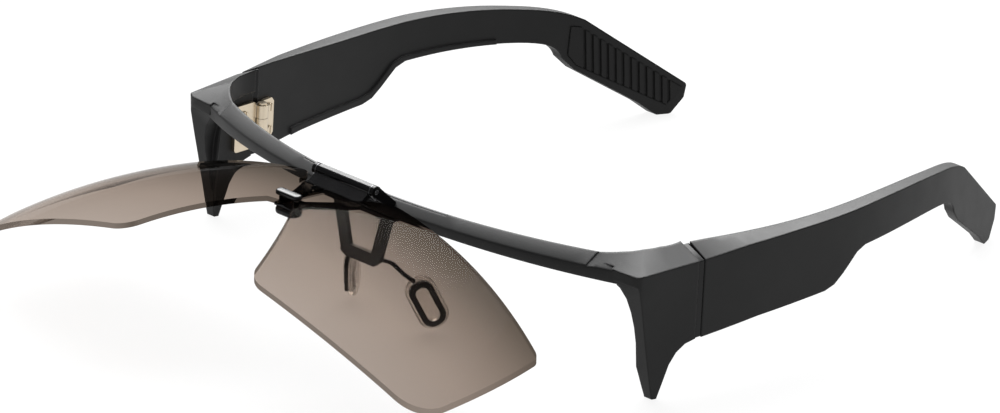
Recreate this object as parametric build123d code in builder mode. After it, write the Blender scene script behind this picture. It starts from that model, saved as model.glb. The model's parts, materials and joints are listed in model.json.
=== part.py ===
from build123d import *
import os
from math import sqrt

# Half-frame eyewear with a flip-up lens carrier, in millimetres, +Z up.
# Every piece is drawn from the frame's front corner line: X to the wearer's left,
# Y backwards from the front corners, Z up from the surface it stands on.
# save() then moves it so that the origin lies under the middle of the whole object.

# ---- driving dimensions -------------------------------------------------------------
MIDDLE_Y = 34.19           # from the front corner line to the middle of the whole length
HALF_WIDTH = 70.8          # front corner to the middle plane
BROW_FRONT_R = 142.0       # plan radius of the brow's front edge
BROW_REAR_R = 131.0        # plan radius of the brow's rear edge
BROW_FRONT_Y = -16.1       # front edge at the middle
BROW_REAR_Y = -12.9        # rear edge at the middle
SEAM_Y = 15.8              # rear face of the end piece
TRIM_THICKNESS = 1.6       # bright strip between the end piece and the temple
TEMPLE_GAP = 0.12          # running gap between the strip and the temple
TEMPLE_END_Y = 142.0       # plan length of the temple slab, cut back by its side outline
HINGE_X = 65.3             # temple hinge axis
END_WALL_X = 66.6          # inner face of the end piece at the seam
SEAM_X = 72.0              # outer face of the end piece at the seam
FLIP_Y = -20.9             # flip hinge axis
FLIP_Z = 36.1
FLIP_REST_TILT = -87.4     # carrier and lenses, turned up from upright
LENS_RADIUS = 130.0        # front surface of both lenses lies on one sphere
LENS_THICKNESS = 1.25
LENS_CENTRE_Z = -24.4      # sphere's centre height, from the flip axis
LENS_FRONT_Y = -1.0        # the sphere's front point, from the flip axis
PIN_R = 0.55               # flip hinge and temple hinge pins
SCREW_R = 0.5              # small screws' shank
SCREW_HEAD_R = 0.95
SCREW_HEAD_H = 0.5
HOLE_PLAY = 0.03           # radial play of a shank in its hole

TRIM_REAR_Y = SEAM_Y + TRIM_THICKNESS
TEMPLE_FRONT_Y = TRIM_REAR_Y + TEMPLE_GAP
HINGE_Y = TRIM_REAR_Y + TEMPLE_GAP / 2

os.makedirs("parts", exist_ok=True)


def save(part, node):
    """Write one piece, moved to the part's own origin."""
    piece = part.moved(Location((0, -MIDDLE_Y, 0)))
    piece.label = node
    export_step(piece, f"parts/{node}.step")


def save_pair(part, stem):
    """Write the wearer's left piece and its mirror image."""
    save(part, stem + "_left")
    save(mirror(part, about=Plane.YZ), stem + "_right")


def arc_y(x, apex_y, radius):
    """Y of a plan arc whose apex lies on the middle plane."""
    return apex_y + radius - sqrt(radius * radius - x * x)


# ---- temple plan: outer and inner lines ---------------------------------------------
# Points are (x, y). The slab curves out to 74 mm at mid length and in behind the ear.
OUTER_LINE = [(72.1, 17.0), (73.6, 32.0), (74.4, 48.0), (74.2, 64.0),
              (71.4, 82.0), (65.5, 101.5), (58.2, 119.0), (48.0, TEMPLE_END_Y)]
SLAB_THICKNESS = [5.0, 4.7, 4.4, 4.1, 3.6, 3.1, 2.9, 3.0]


def temple_line(inset):
    """The outer line moved towards the head by inset, or by a share of the thickness."""
    return [(x - inset(t), y) for (x, y), t in zip(OUTER_LINE, SLAB_THICKNESS)]


def plan_slab(outer_inset, inner_inset, low, high):
    """A curved upright slab between two lines parallel to the temple's outer face."""
    outer = temple_line(outer_inset)
    inner = temple_line(inner_inset)
    with BuildPart() as slab:
        with BuildSketch(Plane.XY.offset(low)):
            with BuildLine():
                Spline(*outer)
                Line(outer[-1], inner[-1])
                Spline(*inner)
                Line(inner[0], outer[0])
            make_face()
        extrude(amount=high - low)
    return slab.part


def side_cut(outline, x_low=30.0, x_high=90.0):
    """A closed side outline (y, z points, straight) as a block along X."""
    with BuildPart() as block:
        with BuildSketch(Plane.YZ.offset(x_low)):
            with BuildLine():
                Polyline(*outline, close=True)
            make_face()
        extrude(amount=x_high - x_low)
    return block.part


# ---- front frame: brow bar, end pieces and spikes --------------------------------------
def brow_section(x):
    """Corner points (y, z) of the brow bar's section at x, all round from the front foot."""
    front = arc_y(x, BROW_FRONT_Y, BROW_FRONT_R)
    rear = arc_y(x, BROW_REAR_Y, BROW_REAR_R)
    foot = 28.6 - 1.9 * (abs(x) / 60) ** 1.5
    front_top = 30.7 - 1.2 * (x / 68) ** 2
    rear_top = 33.1 - 0.9 * (x / 68) ** 2
    return [(front + 0.3, foot), (front, front_top), (rear, rear_top), (rear, foot + 0.2)]


def brow_bar():
    """The curved bar across the forehead, a loft of sections every few millimetres."""
    with BuildPart() as bar:
        for x in (-66, -56, -44, -30, -15, 0, 15, 30, 44, 56, 66):
            with BuildSketch(Plane.YZ.offset(x)) as section:
                with BuildLine():
                    Polyline(*brow_section(x), close=True)
                make_face()
                fillet(section.vertices(), 0.45)
        loft()
    return bar.part


# Side outline of the end piece and its spike (y, z); the top is cut by the sloped plane.
END_PIECE_OUTLINE = [(-6.0, 40.0), (SEAM_Y, 40.0), (SEAM_Y, 12.5), (13.2, 11.8), (11.0, 10.2),
                     (9.3, 7.6), (6.8, 0.0), (5.7, 0.0), (5.0, 2.6), (-0.6, 27.5), (-6.0, 27.2)]


# Under the brow's end, seen from ahead (x, z): everything inside this is open.
FRONT_SWEEP = [(55.0, -2.0), (66.3, -2.0), (66.7, 10.0), (66.8, 17.0), (66.4, 20.5), (65.5, 23.6),
               (63.8, 25.8), (61.6, 26.8), (55.0, 26.9)]


# The end piece's inner top edge in plan.
TOP_INNER_LINE = [(57.3, 0.1), (60.2, 2.2), (63.2, 5.2), (65.3, 9.6), (66.0, SEAM_Y)]


def ramp_section(inner, outer, inner_z, outer_z):
    """Upright section of the space above the end piece's top, between two plan points."""
    dx, dy = outer[0] - inner[0], outer[1] - inner[1]
    length = sqrt(dx * dx + dy * dy)
    rise = (outer_z - inner_z) / length
    plane = Plane(origin=(inner[0], inner[1], 0), x_dir=(dx, dy, 0), z_dir=(dy, -dx, 0))
    with BuildSketch(plane) as section:
        with BuildLine():
            Polyline((-0.5, inner_z - 0.5 * rise), (length + 2.5, outer_z + 2.5 * rise),
                     (length + 2.5, 45.0), (-0.5, 45.0), close=True)
        make_face()
    return section.sketch


def above_end_piece():
    """The space above the end piece: its floor turns the brow's slope round the corner."""
    sections = [ramp_section((57.0, 0.7), (57.0, -3.8), 32.5, 29.85),
                ramp_section((61.0, 3.6), (64.0, -1.6), 32.9, 29.85),
                ramp_section((63.9, 6.6), (71.0, -0.6), 33.2, 30.0),
                ramp_section((65.4, 10.0), (71.3, 6.6), 33.35, 30.25),
                ramp_section((66.1, 17.0), (72.1, 17.0), 33.4, 30.5)]
    with BuildPart() as space:
        for section in sections:
            add(section)
        loft(ruled=True)
    return space.part


def end_piece():
    """Left end piece: a leaning wall with a sloped top, a swept front and a spike."""
    with BuildPart() as wall:
        # Plan of the wall at the foot and at the top: its front corner leans in by 2.6 mm.
        for z, lean, inner_front in ((-1.0, 2.6, 66.3), (34.0, 0.0, 62.0)):
            front = arc_y(inner_front, BROW_FRONT_Y, BROW_FRONT_R)
            with BuildSketch(Plane.XY.offset(z)):
                with BuildLine():
                    Polyline((HALF_WIDTH - 1.2 - lean, -0.9), (HALF_WIDTH - 0.2 - lean, -0.3),
                             (HALF_WIDTH + 0.1 - lean, 0.8), (SEAM_X, SEAM_Y), (END_WALL_X, SEAM_Y),
                             (END_WALL_X, 9.3), (inner_front + 3.6 - lean, 5.6),
                             (inner_front, 2.9), (inner_front, front), close=True)
                make_face()
        loft(ruled=True)
        # the top spreads inwards, so that the brow's rear edge runs on to the seam
        with BuildSketch(Plane.XY.offset(28.0)):
            with BuildLine():
                Spline(*TOP_INNER_LINE)
                Polyline(TOP_INNER_LINE[-1], (68.0, SEAM_Y), (68.0, 0.5), (TOP_INNER_LINE[0][0], -2.0),
                         TOP_INNER_LINE[0])
            make_face()
        extrude(amount=6.0)
        add(side_cut(END_PIECE_OUTLINE, 50.0, 80.0), mode=Mode.INTERSECT)
        # Front outline seen from ahead: the brow's foot sweeps down into the spike.
        with BuildSketch(Plane.XZ.offset(12.0)):
            with BuildLine():
                Polyline(*FRONT_SWEEP, close=True)
            make_face()
        extrude(amount=-16.0, mode=Mode.SUBTRACT)
    return wall.part


STRIP_HALF_LENGTH = 22.0


def brow_band(width, half_length, low):
    """A block along the rear edge of the brow's top, from low upwards."""
    with BuildPart() as band:
        with BuildSketch(Plane.XY.offset(low)):
            with BuildLine():
                ends = [arc_y(half_length, BROW_REAR_Y - inset, BROW_REAR_R) for inset in (width, 0.0)]
                ThreePointArc((-half_length, ends[0]), (0, BROW_REAR_Y - width), (half_length, ends[0]))
                Line((half_length, ends[0]), (half_length, ends[1] + 0.2))
                ThreePointArc((half_length, ends[1] + 0.2), (0, BROW_REAR_Y + 0.2),
                              (-half_length, ends[1] + 0.2))
                Line((-half_length, ends[1] + 0.2), (-half_length, ends[0]))
            make_face()
        extrude(amount=3.0)
    return band.part


def brow_strip():
    """Glossy strip let into the rear edge of the brow's top."""
    with BuildPart() as strip:
        add(brow_band(0.86, STRIP_HALF_LENGTH, 32.27))
        add(brow_bar(), mode=Mode.INTERSECT)
    return strip.part


def front_frame():
    """Brow bar and both end pieces, one moulding, with screw holes and hinge seats."""
    end = end_piece()
    with BuildPart() as frame:
        add(brow_bar())
        add(end)
        add(mirror(end, about=Plane.YZ))
        space = above_end_piece()
        add(space, mode=Mode.SUBTRACT)
        add(mirror(space, about=Plane.YZ), mode=Mode.SUBTRACT)
        # screw holes for the flip hinge's base, square to the sloped top
        for x in FLIP_SCREW_X:
            with Locations(Plane(origin=base_point(x, 0.0), x_dir=(1, 0, 0), z_dir=TOP_NORMAL)):
                Cylinder(SCREW_R + HOLE_PLAY, 3.2, mode=Mode.SUBTRACT)
        # seat of the brow strip along the rear edge of the top
        add(brow_band(0.9, STRIP_HALF_LENGTH + 0.05, 32.25), mode=Mode.SUBTRACT)
        # screw holes for the nose bracket, from below
        for x in BRACKET_SCREW_X:
            with Locations((x, BRACKET_SCREW_Y, 28.2)):
                Cylinder(SCREW_R + HOLE_PLAY, 3.2, mode=Mode.SUBTRACT)
        # screw holes for the fixed hinge leaves
        holes = screw_holes(END_WALL_X, FRAME_LEAF_SCREW_Y, FRAME_LEAF_SCREW_Z)
        add(holes, mode=Mode.SUBTRACT)
        add(mirror(holes, about=Plane.YZ), mode=Mode.SUBTRACT)
        # vertical ribs' grooves on the inner face of each end piece
        for side in (1, -1):
            for y in (3.6, 5.2, 6.8):
                with Locations((side * 64.6, y, 21.0)):
                    Box(0.9, 0.7, 13.0, mode=Mode.SUBTRACT)
    return frame.part


# ---- flip hinge's base on the brow ------------------------------------------------------
TOP_SLOPE_LENGTH = sqrt(3.2 ** 2 + 2.4 ** 2)
TOP_NORMAL = (0, -2.4 / TOP_SLOPE_LENGTH, 3.2 / TOP_SLOPE_LENGTH)
FLIP_SCREW_X = (-4.6, 4.6)
EAR_INNER_X = 8.55
EAR_OUTER_X = 9.4
BARREL_R = 1.35
BASE_THICKNESS = 0.9


def base_point(x, height):
    """A point above the front half of the brow's sloped top at the middle plane."""
    return (x, -15.14 + TOP_NORMAL[1] * height, 31.44 + TOP_NORMAL[2] * height)


def flip_base_plate():
    """Foot plate on the sloped top, with two ears that reach up to the flip axis."""
    foot = Plane(origin=base_point(0, 0.03), x_dir=(1, 0, 0), z_dir=TOP_NORMAL)
    with BuildPart() as base:
        with BuildSketch(foot):
            RectangleRounded(2 * EAR_OUTER_X, 2.0, 0.4)
        extrude(amount=BASE_THICKNESS)
        for x in (EAR_INNER_X, -EAR_OUTER_X):
            with BuildSketch(Plane.YZ.offset(x)):
                with Locations((FLIP_Y, FLIP_Z)):
                    Circle(BARREL_R)
                with BuildLine():
                    Polyline((-21.7, 35.1), (-16.2, 30.95), (-14.6, 32.3), (-20.1, 37.1), close=True)
                make_face()
            extrude(amount=EAR_OUTER_X - EAR_INNER_X)
        with Locations(Location((0, FLIP_Y, FLIP_Z), (0, 90, 0))):
            Cylinder(PIN_R, 40, mode=Mode.SUBTRACT)
        for x in FLIP_SCREW_X:
            with Locations(Plane(origin=base_point(x, 0.0), x_dir=(1, 0, 0), z_dir=TOP_NORMAL)):
                Cylinder(SCREW_R + HOLE_PLAY, 6.0, mode=Mode.SUBTRACT)
    return base.part


def small_screw(origin, direction, shank):
    """Slotted screw: head above origin, shank below it along -direction."""
    seat = Plane(origin=origin, z_dir=direction)
    with BuildPart() as screw:
        with BuildSketch(seat):
            Circle(SCREW_HEAD_R)
        extrude(amount=SCREW_HEAD_H)
        fillet(screw.edges().filter_by(GeomType.CIRCLE).group_by(SortBy.LENGTH)[-1][-1], 0.15)
        with BuildSketch(seat):
            Circle(SCREW_R)
        extrude(amount=-shank)
        with BuildSketch(seat.offset(SCREW_HEAD_H)):
            Rectangle(2.4 * SCREW_HEAD_R, 0.28)
        extrude(amount=-0.28, mode=Mode.SUBTRACT)
    return screw.part


def flip_base_screws():
    with BuildPart() as screws:
        for x in FLIP_SCREW_X:
            add(small_screw(base_point(x, BASE_THICKNESS + 0.03), TOP_NORMAL, 2.2))
    return screws.part


def flip_hinge_pin():
    with BuildPart() as pin:
        with BuildSketch(Plane.YZ.offset(-EAR_OUTER_X - 0.25)):
            with Locations((FLIP_Y, FLIP_Z)):
                Circle(PIN_R)
        extrude(amount=2 * EAR_OUTER_X + 0.5)
        chamfer(pin.edges().filter_by(GeomType.CIRCLE), 0.12)
    return pin.part


def flip_washers():
    """Two thin friction washers between the ears and the turning barrel."""
    with BuildPart() as washers:
        for x in (EAR_INNER_X - 0.3, 0.05 - EAR_INNER_X):
            with BuildSketch(Plane.YZ.offset(x)):
                with Locations((FLIP_Y, FLIP_Z)):
                    Circle(BARREL_R)
                    Circle(PIN_R + 0.03, mode=Mode.SUBTRACT)
            extrude(amount=0.25)
    return washers.part


# ---- nose bridge bracket, pad arms, holders and pads ---------------------------------------
BRACKET_Y = -15.0
BRACKET_THICKNESS = 1.2
BRACKET_SCREW_X = (-4.2, 4.2)
BRACKET_SCREW_Y = -14.3


def nose_bridge_bracket():
    """U-shaped plate under the brow, with a flange that is screwed to the brow's foot."""
    with BuildPart() as bracket:
        with BuildSketch(Plane.XZ.offset(-BRACKET_Y - BRACKET_THICKNESS / 2)) as outline:
            with BuildLine():
                Polyline((-8.9, 28.0), (-5.9, 17.0), (-4.3, 15.7), (4.3, 15.7), (5.9, 17.0), (8.9, 28.0),
                         close=True)
            make_face()
            with BuildLine():
                Polyline((-6.0, 28.6), (-3.4, 18.6), (3.4, 18.6), (6.0, 28.6), close=True)
            make_face(mode=Mode.SUBTRACT)
        extrude(amount=BRACKET_THICKNESS)
        with BuildSketch(Plane.XY.offset(27.5)):
            with Locations((0, -14.3)):
                RectangleRounded(19.0, 2.6, 0.6)
        extrude(amount=0.95)
        for x in BRACKET_SCREW_X:
            with Locations((x, BRACKET_SCREW_Y, 28.0)):
                Cylinder(SCREW_R + HOLE_PLAY, 4.0, mode=Mode.SUBTRACT)
    return bracket.part


def nose_bracket_screws():
    with BuildPart() as screws:
        for x in BRACKET_SCREW_X:
            add(small_screw((x, BRACKET_SCREW_Y, 27.48), (0, 0, -1), 2.2))
    return screws.part


# The left holder's plane: long way down the nose, facing away from it.
HOLDER_CENTRE = (12.3, -6.3, 7.3)
HOLDER_DOWN = (0.306, 0.367, -0.878)
HOLDER_OUT = (0.8095, -0.5862, 0.0371)
HOLDER_PLANE = Plane(origin=HOLDER_CENTRE, x_dir=HOLDER_DOWN, z_dir=HOLDER_OUT)
WIRE_R = 0.5


def pad_arm():
    """Bent wire from the bracket's corner down to the holder's top."""
    path_points = [(4.9, -13.86, 17.2), (7.6, -13.2, 17.1), (9.6, -11.4, 14.6), (10.55, -9.0, 12.55)]
    with BuildPart() as arm:
        with BuildLine() as path:
            FilletPolyline(*path_points, radius=1.6)
        with BuildSketch(Plane(origin=path.line @ 0, z_dir=path.line % 0)):
            Circle(WIRE_R)
        sweep()
    return arm.part


def pad_holder():
    """Rounded ring that the soft pad snaps into."""
    with BuildPart() as holder:
        with BuildSketch(HOLDER_PLANE):
            RectangleRounded(11.0, 5.6, 2.5)
            RectangleRounded(8.4, 3.0, 1.4, mode=Mode.SUBTRACT)
        extrude(amount=0.55, both=True)
        fillet(holder.edges().filter_by(GeomType.LINE).group_by(SortBy.LENGTH)[-1], 0.2)
    return holder.part


def nose_pad():
    """Soft pad: a pillow against the nose and a plug through the holder."""
    with BuildPart() as pad:
        with BuildSketch(HOLDER_PLANE.offset(-0.58)):
            RectangleRounded(12.6, 7.0, 3.2)
        extrude(amount=-1.6)
        fillet(pad.faces().sort_by(Axis(HOLDER_CENTRE, HOLDER_OUT))[0].edges(), 0.9)
        with BuildSketch(HOLDER_PLANE.offset(-0.6)):
            RectangleRounded(8.3, 2.9, 1.35)
        extrude(amount=1.5)
    return pad.part


# ---- temples, seam strips and their hinges ---------------------------------------------------
# Side outline of the temple (y, z), front to rear along the top, then back along the foot.
TEMPLE_TOP = [(TEMPLE_FRONT_Y, 33.4), (35.0, 32.3), (50.0, 31.8), (67.5, 31.8), (82.0, 31.3)]
TEMPLE_BEND = [(82.0, 31.3), (91.0, 30.5), (97.5, 29.6), (107.5, 27.6), (113.5, 25.2)]
TEMPLE_TAIL = [(137.4, 7.1), (136.9, 3.8), (134.0, 0.0), (130.8, 0.0), (126.6, 3.4), (111.6, 13.1)]
EAR_ARCH = [(108.6, 16.2), (106.4, 19.1), (102.8, 20.5), (97.5, 21.4), (88.0, 22.2), (78.0, 22.5),
            (67.0, 22.4)]
TEMPLE_FOOT_STEP = [(64.2, 21.4), (59.8, 17.6), (57.0, 15.6), (54.0, 14.8)]


def temple_side():
    """Block with the temple's side outline, rounded at the tail."""
    with BuildPart() as block:
        with BuildSketch(Plane.YZ.offset(30.0)) as side:
            with BuildLine():
                Spline(*TEMPLE_TOP)
                Spline(*TEMPLE_BEND)
                Polyline(TEMPLE_BEND[-1], *TEMPLE_TAIL, EAR_ARCH[0])
                Spline(*EAR_ARCH)
                Polyline(EAR_ARCH[-1], *TEMPLE_FOOT_STEP, (33.5, 13.9), (TEMPLE_FRONT_Y, 12.5), TEMPLE_TOP[0])
            make_face()
            fillet(side.vertices().filter_by(lambda v: v.X > 120), 1.0)
        extrude(amount=60.0)
    return block.part


# The outer top edge near the seam: (y, outer face x, inner top z, drop to the edge, width).
TOP_SLOPE = [(TEMPLE_FRONT_Y - 0.5, 72.1, 33.4, 2.9, 5.2), (30.0, 73.45, 32.6, 1.3, 4.4),
             (46.0, 74.35, 31.9, 0.4, 3.4), (70.0, 73.6, 31.85, 0.08, 2.0)]


def sloped_top_wedge():
    """Material above the temple's outer top edge near the seam, fading out rearwards."""
    with BuildPart() as wedge:
        for y, outer_x, top, drop, reach in TOP_SLOPE:
            with BuildSketch(Plane.XZ.offset(-y)):
                with BuildLine():
                    Polyline((outer_x - reach, top), (outer_x + 1.5, top - drop * (reach + 1.5) / reach),
                             (outer_x + 1.5, top + 6), (outer_x - reach, top + 6), close=True)
                make_face()
        loft(ruled=True)
    return wedge.part


def inlay(outer_inset, inner_inset, outline):
    """A curved slab between two insets of the temple's face, cut to a side outline."""
    with BuildPart() as piece:
        add(plan_slab(outer_inset, inner_inset, -2.0, 40.0))
        add(side_cut(outline), mode=Mode.INTERSECT)
    return piece.part


def temple():
    """Left temple: a curved slab cut to its side outline, with a ledge and a grip seat."""
    with BuildPart() as arm:
        add(plan_slab(lambda t: 0.0, lambda t: t, -2.0, 40.0))
        # low ledge along the foot of the inner face
        add(inlay(lambda t: t - 0.2, lambda t: t + 0.45, LEDGE_OUTLINE))
        add(temple_side(), mode=Mode.INTERSECT)
        add(sloped_top_wedge(), mode=Mode.SUBTRACT)
        # seat of the rubber grip behind the ear
        add(inlay(lambda t: t - 1.2, lambda t: t + 3.0, GRIP_OUTLINE), mode=Mode.SUBTRACT)
        add(screw_holes(68.0, TEMPLE_LEAF_SCREW_Y, TEMPLE_LEAF_SCREW_Z), mode=Mode.SUBTRACT)
    return arm.part


LEDGE_OUTLINE = [(30.0, 10.0), (56.0, 10.0), (70.0, 20.0), (92.0, 20.0), (92.0, 23.1), (78.0, 23.8),
                 (66.2, 23.7), (63.2, 22.6), (58.8, 18.8), (56.6, 17.2), (53.6, 16.4), (30.0, 15.3)]
GRIP_OUTLINE = [(110.2, 23.9), (112.4, 23.5), (136.2, 6.3), (133.0, 2.4), (112.0, 14.2), (109.8, 17.0)]
GRIP_RIBS = 12
GRIP_PITCH = 1.72


def grip_grooves():
    """Slanted blocks that cut the grooves between the grip's ribs."""
    with BuildPart() as grooves:
        for k in range(GRIP_RIBS):
            y = 112.6 + k * GRIP_PITCH
            with BuildSketch(Plane.YZ.offset(30.0)):
                with BuildLine():
                    Polyline((y, 27.0), (y + 0.75, 27.0), (y + 2.55, -2.0), (y + 1.8, -2.0), close=True)
                make_face()
            extrude(amount=60.0)
    return grooves.part


def ear_grip():
    """Ribbed rubber inlay in the inner face of the temple's tail."""
    with BuildPart() as cutter:
        add(plan_slab(lambda t: t - 0.3, lambda t: t + 3.0, -2.0, 40.0))
        add(grip_grooves(), mode=Mode.INTERSECT)
    with BuildPart() as grip:
        add(inlay(lambda t: t - 1.18, lambda t: t + 0.25, GRIP_OUTLINE))
        add(cutter.part, mode=Mode.SUBTRACT)
    return grip.part


def seam_trim():
    """Bright strip on the end piece's rear face, seen as a line beside the temple."""
    with BuildPart() as trim:
        with BuildSketch(Plane.XZ.offset(-SEAM_Y)) as face:
            with BuildLine():
                Polyline((66.75, 12.6), (SEAM_X, 12.6), (SEAM_X, 30.4), (66.75, 33.0), close=True)
            make_face()
            fillet(face.vertices(), 0.2)
        extrude(amount=-TRIM_THICKNESS)
    return trim.part


KNUCKLE_R = 1.45
KNUCKLE_Z = (15.6, 18.7, 21.8, 24.9)      # ends of the three knuckles
KNUCKLE_PLAY = 0.05


def knuckle(low, high):
    """One knuckle of the temple hinge, bored for the pin."""
    with BuildPart() as ring:
        with BuildSketch(Plane.XY.offset(low + KNUCKLE_PLAY)):
            with Locations((HINGE_X, HINGE_Y)):
                Circle(KNUCKLE_R)
        extrude(amount=high - low - 2 * KNUCKLE_PLAY)
    return ring.part


LEAF_THICKNESS = 0.9
FRAME_LEAF_SCREW_Y = 12.4
FRAME_LEAF_SCREW_Z = (17.2, 23.3)
TEMPLE_LEAF_SCREW_Y = 21.1
TEMPLE_LEAF_SCREW_Z = (17.6, 23.0)


def screw_holes(x, y, heights):
    """Shank holes along X, a few millimetres each side of x."""
    with BuildPart() as holes:
        for z in heights:
            with Locations(Location((x, y, z), (0, 90, 0))):
                Cylinder(SCREW_R + HOLE_PLAY, 5.0)
    return holes.part


def leaf_screws(x, y, heights, shank):
    """A pair of screws whose heads sit on the leaf, towards the head."""
    with BuildPart() as screws:
        for z in heights:
            add(small_screw((x, y, z), (-1, 0, 0), shank))
    return screws.part


def knuckles_and_web(spans, x_wall, y_side):
    """Knuckles on the hinge axis, each with a web to the wall on one side of the seam."""
    with BuildPart() as leaf:
        for low, high in spans:
            add(knuckle(low, high))
            with BuildSketch(Plane.XY.offset(low + KNUCKLE_PLAY)):
                with BuildLine():
                    Polyline((HINGE_X, HINGE_Y + 0.25 * y_side), (x_wall, HINGE_Y + 0.25 * y_side),
                             (x_wall, HINGE_Y + 2.6 * y_side), (HINGE_X + 0.4, HINGE_Y + 1.3 * y_side),
                             close=True)
                make_face()
            extrude(amount=high - low - 2 * KNUCKLE_PLAY)
    return leaf.part


def frame_hinge_leaf():
    """Fixed leaf on the end piece's inner wall, with the upper and lower knuckles."""
    with BuildPart() as leaf:
        add(knuckles_and_web((KNUCKLE_Z[0:2], KNUCKLE_Z[2:4]), END_WALL_X - 0.02, -1))
        with BuildSketch(Plane.YZ.offset(END_WALL_X - 0.02)):
            with Locations(((9.6 + HINGE_Y - 1.6) / 2, 20.25)):
                RectangleRounded(HINGE_Y - 1.6 - 9.6, 11.0, 0.8)
        extrude(amount=-LEAF_THICKNESS)
        with Locations((HINGE_X, HINGE_Y, 20.0)):
            Cylinder(PIN_R + KNUCKLE_PLAY, 30.0, mode=Mode.SUBTRACT)
        add(screw_holes(END_WALL_X, FRAME_LEAF_SCREW_Y, FRAME_LEAF_SCREW_Z), mode=Mode.SUBTRACT)
    return leaf.part


TEMPLE_LEAF_OUTLINE = [(HINGE_Y + 1.6, 15.6), (22.0, 15.6), (22.8, 16.6), (22.8, 24.0), (22.0, 25.0),
                       (HINGE_Y + 1.6, 25.0)]


def temple_hinge_leaf():
    """Moving leaf on the temple's inner wall, with the middle knuckle."""
    with BuildPart() as leaf:
        add(knuckles_and_web((KNUCKLE_Z[1:3],), 67.0, 1))
        add(inlay(lambda t: t, lambda t: t + LEAF_THICKNESS, TEMPLE_LEAF_OUTLINE))
        with Locations((HINGE_X, HINGE_Y, 20.0)):
            Cylinder(PIN_R + KNUCKLE_PLAY, 30.0, mode=Mode.SUBTRACT)
        add(screw_holes(68.0, TEMPLE_LEAF_SCREW_Y, TEMPLE_LEAF_SCREW_Z), mode=Mode.SUBTRACT)
    return leaf.part


def temple_hinge_pin():
    with BuildPart() as pin:
        with BuildSketch(Plane.XY.offset(KNUCKLE_Z[0] - 0.3)):
            with Locations((HINGE_X, HINGE_Y)):
                Circle(PIN_R)
        extrude(amount=KNUCKLE_Z[3] - KNUCKLE_Z[0] + 0.6)
        with BuildSketch(Plane.XY.offset(KNUCKLE_Z[3] + 0.02)):
            with Locations((HINGE_X, HINGE_Y)):
                Circle(1.0)
        extrude(amount=0.4)
    return pin.part


# ---- flip carrier, bridge clip and lenses, drawn hanging down from the flip axis ---------------
def turned_up(part):
    """Turn a piece from upright about the flip axis and put it on that axis."""
    return part.moved(Location((0, FLIP_Y, FLIP_Z), (FLIP_REST_TILT, 0, 0)))


CLIP_Z = -17.4
CLIP_SCREW_X = (-2.3, 2.3)
BARREL_HALF_LENGTH = 8.2
# Side line of the web and arms (y, z): back from the barrel, then under the lenses to the bridge.
CARRIER_SIDE = [(-0.7, 0.0), (2.25, -4.4), (2.15, -6.0), (1.6, -10.0), (0.75, -15.2), (0.72, -18.6),
                (1.4, -18.6), (1.4, -15.2), (2.4, -10.0), (3.0, -6.0), (3.1, -4.4), (1.1, 0.0)]


def flip_carrier():
    """Barrel on the flip axis, a web below it and two arms that meet at the bridge."""
    with BuildPart() as carrier:
        with BuildSketch(Plane.XZ.offset(-6.0)):
            with BuildLine():
                Polyline((-BARREL_HALF_LENGTH, 0.0), (BARREL_HALF_LENGTH, 0.0), (8.2, -3.2), (9.0, -4.4),
                         (6.1, -10.0), (3.4, CLIP_Z + 0.9), (3.4, CLIP_Z - 1.1), (-3.4, CLIP_Z - 1.1),
                         (-3.4, CLIP_Z + 0.9), (-6.1, -10.0), (-9.0, -4.4), (-8.2, -3.2), close=True)
            make_face()
            with BuildLine():
                Polyline((-5.8, -4.4), (5.8, -4.4), (2.7, -10.2), (1.0, -13.6), (-1.0, -13.6), (-2.7, -10.2),
                         close=True)
            make_face(mode=Mode.SUBTRACT)
        extrude(amount=12.0)
        with BuildSketch(Plane.YZ.offset(-12.0)):
            with BuildLine():
                Polyline(*CARRIER_SIDE, close=True)
            make_face()
        extrude(amount=24.0, mode=Mode.INTERSECT)
        with BuildSketch(Plane.YZ.offset(-BARREL_HALF_LENGTH)):
            Circle(BARREL_R)
        extrude(amount=2 * BARREL_HALF_LENGTH)
        # flat on the barrel's upper side, as seen when the carrier is up
        with Locations((0, -BARREL_R - 0.35, 0.3)):
            Box(20.0, 1.0, 3.0, mode=Mode.SUBTRACT)
        with Locations(Location((0, 0, 0), (0, 90, 0))):
            Cylinder(PIN_R + 0.05, 40, mode=Mode.SUBTRACT)
        for x in CLIP_SCREW_X:
            with Locations(Location((x, 0, CLIP_Z), (90, 0, 0))):
                Cylinder(SCREW_R + HOLE_PLAY, 12.0, mode=Mode.SUBTRACT)
    return carrier.part


def clip_plate(y_front, thickness, length, height, corner, edge):
    """One jaw of the bridge clip, a rounded bar across both lens ends."""
    with BuildPart() as jaw:
        with BuildSketch(Plane.XZ.offset(-y_front)):
            with Locations((0, CLIP_Z)):
                RectangleRounded(length, height, corner)
        extrude(amount=-thickness)
        fillet(jaw.faces().sort_by(Axis.Y)[0].edges() + jaw.faces().sort_by(Axis.Y)[-1].edges(), edge)
    return jaw.part


def bridge_clip_upper():
    """Front jaw, with blind holes for the two screws."""
    with BuildPart() as jaw:
        add(clip_plate(-2.25, 1.2, 7.0, 2.3, 1.0, 0.45))
        for x in CLIP_SCREW_X:
            with Locations(Location((x, -1.1, CLIP_Z), (90, 0, 0))):
                Cylinder(SCREW_R + HOLE_PLAY, 1.6, mode=Mode.SUBTRACT)
    return jaw.part


def bridge_clip_lower():
    """Rear jaw, a rounded pillow with countersunk screws."""
    with BuildPart() as jaw:
        add(clip_plate(1.46, 1.6, 6.6, 3.6, 1.7, 0.6))
        for x in CLIP_SCREW_X:
            with Locations(Location((x, 0, CLIP_Z), (90, 0, 0))):
                Cylinder(SCREW_R + HOLE_PLAY, 12.0, mode=Mode.SUBTRACT)
            with Locations(Location((x, 2.94, CLIP_Z), (90, 0, 0))):
                Cylinder(SCREW_HEAD_R + HOLE_PLAY, 1.1, mode=Mode.SUBTRACT)
    return jaw.part


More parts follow.
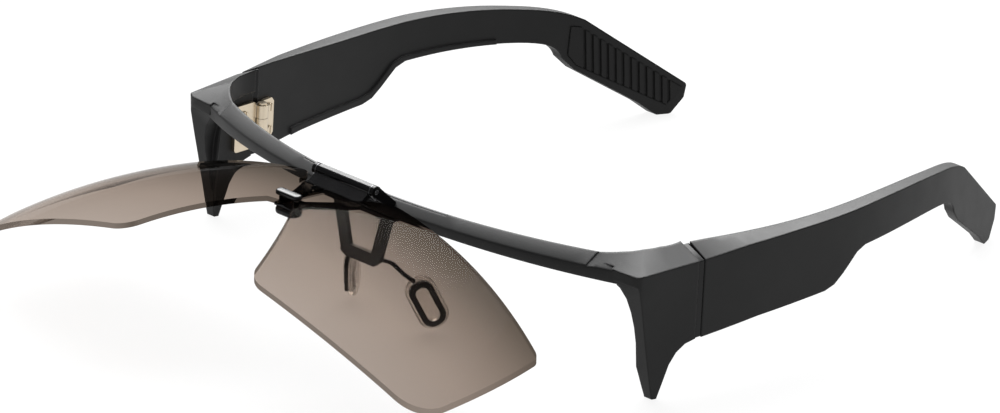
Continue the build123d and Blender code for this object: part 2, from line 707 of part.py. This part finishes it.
def bridge_clip_screws():
    with BuildPart() as screws:
        for x in CLIP_SCREW_X:
            add(small_screw((x, 2.41, CLIP_Z), (0, 1, 0), 4.2))
    return screws.part


def lens():
    """Left lens: a wrap outline cut from a spherical shell."""
    with BuildPart() as blank:
        with BuildSketch(Plane.XZ) as outline:
            with BuildLine():
                ThreePointArc((14.0, 1.6), (42.0, -1.2), (66.3, -7.0))       # top edge
                ThreePointArc((66.3, -7.0), (69.1, -27.0), (68.0, -44.7))    # outer edge
                ThreePointArc((68.0, -44.7), (44.0, -47.9), (19.3, -47.9))   # foot
                ThreePointArc((19.3, -47.9), (12.4, -33.0), (4.0, -20.0))    # nose edge
                Polyline((4.0, -20.0), (0.4, -19.4), (0.4, -6.4), (8.6, -5.9))
                ThreePointArc((8.6, -5.9), (10.6, -1.6), (14.0, 1.6))        # inner top edge
            make_face()
            points = outline.vertices()
            fillet(points.filter_by(lambda v: v.X > 60 and v.Y > -20), 3.0)
            fillet(outline.vertices().filter_by(lambda v: v.X > 60 and v.Y < -40), 8.5)
            fillet(outline.vertices().filter_by(lambda v: v.X < 25 and v.Y < -40), 6.0)
            fillet(outline.vertices().filter_by(lambda v: 12 < v.X < 16 and v.Y > 0), 5.0)
        extrude(amount=30.0, both=True)
        with Locations((0, LENS_RADIUS + LENS_FRONT_Y, LENS_CENTRE_Z)):
            Sphere(LENS_RADIUS, mode=Mode.INTERSECT)
            Sphere(LENS_RADIUS - LENS_THICKNESS, mode=Mode.SUBTRACT)
        with Locations(Location((CLIP_SCREW_X[1], 0, CLIP_Z), (90, 0, 0))):
            Cylinder(SCREW_R + HOLE_PLAY, 12.0, mode=Mode.SUBTRACT)
    return blank.part


# ---- build and write every piece ------------------------------------------------------------------
save(front_frame(), "front_frame")
save(brow_strip(), "brow_strip")
save(flip_base_plate(), "flip_base_plate")
save(flip_base_screws(), "flip_base_screws")
save(flip_hinge_pin(), "flip_hinge_pin")
save(flip_washers(), "flip_friction_washers")
save(nose_bridge_bracket(), "nose_bridge_bracket")
save(nose_bracket_screws(), "nose_bracket_screws")
save_pair(pad_arm(), "pad_arm")
save_pair(pad_holder(), "pad_holder")
save_pair(nose_pad(), "nose_pad")
save_pair(seam_trim(), "seam_trim")
save_pair(frame_hinge_leaf(), "frame_hinge_leaf")
save_pair(leaf_screws(END_WALL_X - LEAF_THICKNESS - 0.04, FRAME_LEAF_SCREW_Y, FRAME_LEAF_SCREW_Z, 2.8),
          "frame_leaf_screws")
save_pair(temple(), "temple")
save_pair(temple_hinge_leaf(), "temple_hinge_leaf")
save_pair(leaf_screws(66.62, TEMPLE_LEAF_SCREW_Y, TEMPLE_LEAF_SCREW_Z, 2.8), "temple_leaf_screws")
save_pair(temple_hinge_pin(), "temple_hinge_pin")
save_pair(ear_grip(), "ear_grip")
save(turned_up(flip_carrier()), "flip_carrier")
save(turned_up(bridge_clip_upper()), "bridge_clip_upper")
save(turned_up(bridge_clip_lower()), "bridge_clip_lower")
save(turned_up(bridge_clip_screws()), "bridge_clip_screws")
upright_lens = lens()
save(turned_up(upright_lens), "lens_left")
save(turned_up(mirror(upright_lens, about=Plane.YZ)), "lens_right")
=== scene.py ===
"""Looks for the flip-up lens eyewear: materials, small surface pieces, floor, lights and camera."""
import json
import math

import bpy
from mathutils import Matrix, Vector


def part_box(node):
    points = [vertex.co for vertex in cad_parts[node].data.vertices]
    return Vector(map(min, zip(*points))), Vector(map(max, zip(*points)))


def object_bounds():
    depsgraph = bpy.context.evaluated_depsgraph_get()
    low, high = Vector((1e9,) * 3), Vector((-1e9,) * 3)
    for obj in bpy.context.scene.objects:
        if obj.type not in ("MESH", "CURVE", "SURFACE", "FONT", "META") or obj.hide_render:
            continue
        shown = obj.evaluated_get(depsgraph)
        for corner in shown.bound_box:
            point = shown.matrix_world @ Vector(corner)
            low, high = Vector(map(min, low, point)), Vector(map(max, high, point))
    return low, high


SMOOTH_BELOW = math.radians(28)   # faces that meet at a smaller angle shade as one surface
WELD_DISTANCE = 0.000002          # metres
FLOOR_GAP = 0.00005               # metres below the resting surface
LENS_RIM = (0.035, 0.028, 0.022)
LENS_SPHERE_CENTRE = (0.0, -0.0736, -0.0939)   # metres, with the lenses flipped up
LENS_TINT = [(0.0, (0.085, 0.068, 0.054)), (0.15, (0.125, 0.100, 0.080)), (0.4, (0.23, 0.182, 0.15)),
             (0.65, (0.325, 0.262, 0.220)), (1.0, (0.40, 0.335, 0.29))]

# ---- load the CAD frame ----------------------------------------------------------------
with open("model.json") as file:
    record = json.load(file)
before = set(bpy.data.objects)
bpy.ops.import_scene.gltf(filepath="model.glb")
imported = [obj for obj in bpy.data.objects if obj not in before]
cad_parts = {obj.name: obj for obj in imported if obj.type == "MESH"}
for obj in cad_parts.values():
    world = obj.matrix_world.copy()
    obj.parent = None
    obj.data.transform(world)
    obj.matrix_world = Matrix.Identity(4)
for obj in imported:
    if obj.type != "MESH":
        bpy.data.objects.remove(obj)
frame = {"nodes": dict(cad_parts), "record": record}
cad_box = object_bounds()
nodes = frame["nodes"]


# ---- material helpers --------------------------------------------------------------------
def new_material(name, color, roughness, metallic=0.0):
    """A Principled material; returns it with its tree and shader node."""
    material = bpy.data.materials.new(name)
    material.use_nodes = True
    tree = material.node_tree
    shader = tree.nodes["Principled BSDF"]
    shader.inputs["Base Color"].default_value = (*color, 1.0)
    shader.inputs["Roughness"].default_value = roughness
    shader.inputs["Metallic"].default_value = metallic
    return material, tree, shader


def noise(tree, scale, detail=4.0, rough=0.55, stretch=None):
    """Noise over the object's own coordinates, optionally stretched along an axis."""
    coords = tree.nodes.new("ShaderNodeTexCoord")
    source = coords.outputs["Object"]
    if stretch:
        mapping = tree.nodes.new("ShaderNodeMapping")
        mapping.inputs["Scale"].default_value = stretch
        tree.links.new(source, mapping.inputs["Vector"])
        source = mapping.outputs["Vector"]
    texture = tree.nodes.new("ShaderNodeTexNoise")
    texture.inputs["Scale"].default_value = scale
    texture.inputs["Detail"].default_value = detail
    texture.inputs["Roughness"].default_value = rough
    tree.links.new(source, texture.inputs["Vector"])
    return texture.outputs["Fac"]


def ramp(tree, value, stops):
    """Colour ramp through (position, rgb) stops."""
    node = tree.nodes.new("ShaderNodeValToRGB")
    elements = node.color_ramp.elements
    while len(elements) < len(stops):
        elements.new(0.5)
    for element, (position, color) in zip(elements, stops):
        element.position = position
        element.color = (*color, 1.0)
    tree.links.new(value, node.inputs["Fac"])
    return node.outputs["Color"]


def spread(tree, value, low, high):
    """Map 0..1 to low..high."""
    node = tree.nodes.new("ShaderNodeMapRange")
    node.inputs["To Min"].default_value = low
    node.inputs["To Max"].default_value = high
    tree.links.new(value, node.inputs["Value"])
    return node.outputs["Result"]


def bump(tree, shader, height, distance, edge_radius=0.0):
    """Surface relief of the given depth in metres, over softly rounded edges."""
    node = tree.nodes.new("ShaderNodeBump")
    node.inputs["Distance"].default_value = distance
    if edge_radius:
        soft = tree.nodes.new("ShaderNodeBevel")
        soft.samples = 6
        soft.inputs["Radius"].default_value = edge_radius
        tree.links.new(soft.outputs["Normal"], node.inputs["Normal"])
    tree.links.new(height, node.inputs["Height"])
    tree.links.new(node.outputs["Normal"], shader.inputs["Normal"])


def moulded(name, color, roughness, grain_depth, specular=0.5, edge_radius=0.0):
    """Moulded plastic or rubber: fine grain, cloudy gloss and slight colour variation."""
    material, tree, shader = new_material(name, color, roughness)
    cloud = noise(tree, 60.0)
    light = tuple(c * 1.12 for c in color)
    dark = tuple(c * 0.9 for c in color)
    tree.links.new(ramp(tree, cloud, [(0.3, dark), (0.7, light)]), shader.inputs["Base Color"])
    gloss = spread(tree, noise(tree, 140.0), roughness - 0.05, roughness + 0.05)
    tree.links.new(gloss, shader.inputs["Roughness"])
    bump(tree, shader, noise(tree, 3800.0, detail=2.0), grain_depth, edge_radius)
    shader.inputs["Specular IOR Level"].default_value = specular
    return material


def metal(name, color, roughness, brush):
    """Plated metal with fine brushing along one axis."""
    material, tree, shader = new_material(name, color, roughness, metallic=1.0)
    lines = noise(tree, 900.0, detail=3.0, stretch=brush)
    tree.links.new(spread(tree, lines, roughness - 0.07, roughness + 0.1), shader.inputs["Roughness"])
    tone = ramp(tree, noise(tree, 220.0), [(0.25, tuple(c * 0.9 for c in color)), (0.75, color)])
    tree.links.new(tone, shader.inputs["Base Color"])
    bump(tree, shader, lines, 0.00001)
    return material


def lens_material():
    """Clear plastic with a brown tint, darkest at the top edge and palest at the foot, and a dark rim."""
    material, tree, shader = new_material("tinted_lens", (0.5, 0.45, 0.41), 0.0)
    shader.inputs["Transmission Weight"].default_value = 1.0
    shader.inputs["IOR"].default_value = 1.02
    coords = tree.nodes.new("ShaderNodeTexCoord")
    axes = tree.nodes.new("ShaderNodeSeparateXYZ")
    tree.links.new(coords.outputs["Object"], axes.inputs["Vector"])
    low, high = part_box("lens_left")
    depth = tree.nodes.new("ShaderNodeMapRange")
    depth.inputs["From Min"].default_value = high.y
    depth.inputs["From Max"].default_value = low.y
    tree.links.new(axes.outputs["Y"], depth.inputs["Value"])
    tint = ramp(tree, depth.outputs["Result"], LENS_TINT)
    # the front and rear faces look along the lens sphere's radius, and the rim's faces don't
    radius = tree.nodes.new("ShaderNodeVectorMath")
    radius.operation = "SUBTRACT"
    radius.inputs[1].default_value = LENS_SPHERE_CENTRE
    tree.links.new(coords.outputs["Object"], radius.inputs[0])
    unit = tree.nodes.new("ShaderNodeVectorMath")
    unit.operation = "NORMALIZE"
    tree.links.new(radius.outputs["Vector"], unit.inputs[0])
    facing = tree.nodes.new("ShaderNodeVectorMath")
    facing.operation = "DOT_PRODUCT"
    tree.links.new(unit.outputs["Vector"], facing.inputs[0])
    tree.links.new(coords.outputs["Normal"], facing.inputs[1])
    face = tree.nodes.new("ShaderNodeMath")
    face.operation = "ABSOLUTE"
    tree.links.new(facing.outputs["Value"], face.inputs[0])
    mix = tree.nodes.new("ShaderNodeMix")
    mix.data_type = "RGBA"
    tree.links.new(face.outputs["Value"], mix.inputs["Factor"])
    mix.inputs["A"].default_value = (*LENS_RIM, 1.0)
    tree.links.new(tint, mix.inputs["B"])
    tree.links.new(mix.outputs["Result"], shader.inputs["Base Color"])
    return material


def silicone_material():
    """Soft clear silicone, slightly milky."""
    material, tree, shader = new_material("clear_silicone", (0.93, 0.9, 0.87), 0.22)
    shader.inputs["Transmission Weight"].default_value = 0.85
    shader.inputs["IOR"].default_value = 1.41
    tree.links.new(spread(tree, noise(tree, 500.0), 0.16, 0.3), shader.inputs["Roughness"])
    bump(tree, shader, noise(tree, 1500.0), 0.00001)
    return material


MATERIALS = {
    "frame_plastic": moulded("frame_plastic", (0.009, 0.0091, 0.0092), 0.5, 0.000018, 0.19, 0.0006),
    "gloss_black": moulded("gloss_black", (0.003, 0.003, 0.0033), 0.16, 0.000002, 0.14, 0.0002),
    "bracket_metal": moulded("bracket_metal", (0.008, 0.009, 0.010), 0.34, 0.000006, 0.3, 0.0002),
    "grip_rubber": moulded("grip_rubber", (0.006, 0.006, 0.006), 0.62, 0.00003, 0.25),
    "dark_metal": metal("dark_metal", (0.09, 0.09, 0.095), 0.32, (1.0, 0.2, 1.0)),
    "gold_metal": metal("gold_metal", (0.66, 0.57, 0.44), 0.3, (1.0, 1.0, 0.12)),
    "clear_silicone": silicone_material(),
    "tinted_lens": lens_material(),
}
for part in frame["record"]["subparts"]:
    piece = nodes[part["node"]]
    piece.data.materials.clear()
    piece.data.materials.append(MATERIALS[part["material_slot"]])

# ---- shading of the carried-over meshes -------------------------------------------------------
for piece in nodes.values():
    for polygon in piece.data.polygons:
        polygon.use_smooth = True
    weld = piece.modifiers.new("weld", "WELD")
    weld.merge_threshold = WELD_DISTANCE
    split = piece.modifiers.new("split", "EDGE_SPLIT")
    split.split_angle = SMOOTH_BELOW
    split.use_edge_sharp = False


# ---- floor, light and camera ------------------------------------------------------------------
def floor_material():
    """White light table: mostly its own glow, with a faint shadow."""
    material, _, shader = new_material("white_table", (0.06, 0.06, 0.06), 0.7)
    shader.inputs["Emission Color"].default_value = (1.0, 1.0, 1.0, 1.0)
    shader.inputs["Emission Strength"].default_value = 0.9
    shader.inputs["Specular IOR Level"].default_value = 0.0
    return material


bpy.ops.mesh.primitive_plane_add(size=8.0, location=(0.0, 0.0, cad_box[0][2] - FLOOR_GAP))
floor = bpy.context.object
floor.name = "floor"
floor.data.materials.append(floor_material())

world = bpy.data.worlds.new("studio")
bpy.context.scene.world = world
world.use_nodes = True
world.node_tree.nodes["Background"].inputs["Color"].default_value = (1.0, 1.0, 1.0, 1.0)
world.node_tree.nodes["Background"].inputs["Strength"].default_value = 0.3


def softbox(name, place, aim, size, power):
    """Rectangular area light that looks from its place at a point, in metres and watts."""
    light = bpy.data.lights.new(name, "AREA")
    light.shape = "RECTANGLE"
    light.size, light.size_y = size
    light.energy = power
    lamp = bpy.data.objects.new(name, light)
    lamp.location = place
    lamp.rotation_euler = (Vector(aim) - Vector(place)).to_track_quat("-Z", "Y").to_euler()
    bpy.context.scene.collection.objects.link(lamp)


softbox("top_box", (-0.55, 0.5, 1.05), (0, 0, 0), (1.4, 1.4), 80.0)
softbox("front_box", (1.2, -0.9, 0.5), (0, 0, 0.02), (0.6, 0.4), 2.0)
bpy.context.scene.view_settings.view_transform = "Standard"

# The camera's own angles about the target, with the long lens that the flat perspective needs.
TARGET = Vector((0.01493, -0.021875, 0.02638))
AZIMUTH, ELEVATION, ROLL = 43.71, 21.40, 2.94
DISTANCE = 2.3557
FOCAL_LENGTH = 386.9

azimuth, elevation, roll = (math.radians(angle) for angle in (AZIMUTH, ELEVATION, ROLL))
back = Vector((math.sin(azimuth) * math.cos(elevation), -math.cos(azimuth) * math.cos(elevation),
               math.sin(elevation)))
right = (-back).cross(Vector((0, 0, 1))).normalized()
up = right.cross(-back)
rolled_right = right * math.cos(roll) + up * math.sin(roll)
rolled_up = up * math.cos(roll) - right * math.sin(roll)
camera_data = bpy.data.cameras.new("camera")
camera_data.lens = FOCAL_LENGTH
camera_data.clip_end = 20.0
camera = bpy.data.objects.new("camera", camera_data)
turn = Matrix((rolled_right, rolled_up, back)).transposed().to_4x4()
camera.matrix_world = Matrix.Translation(TARGET + back * DISTANCE) @ turn
bpy.context.scene.collection.objects.link(camera)
bpy.context.scene.camera = camera
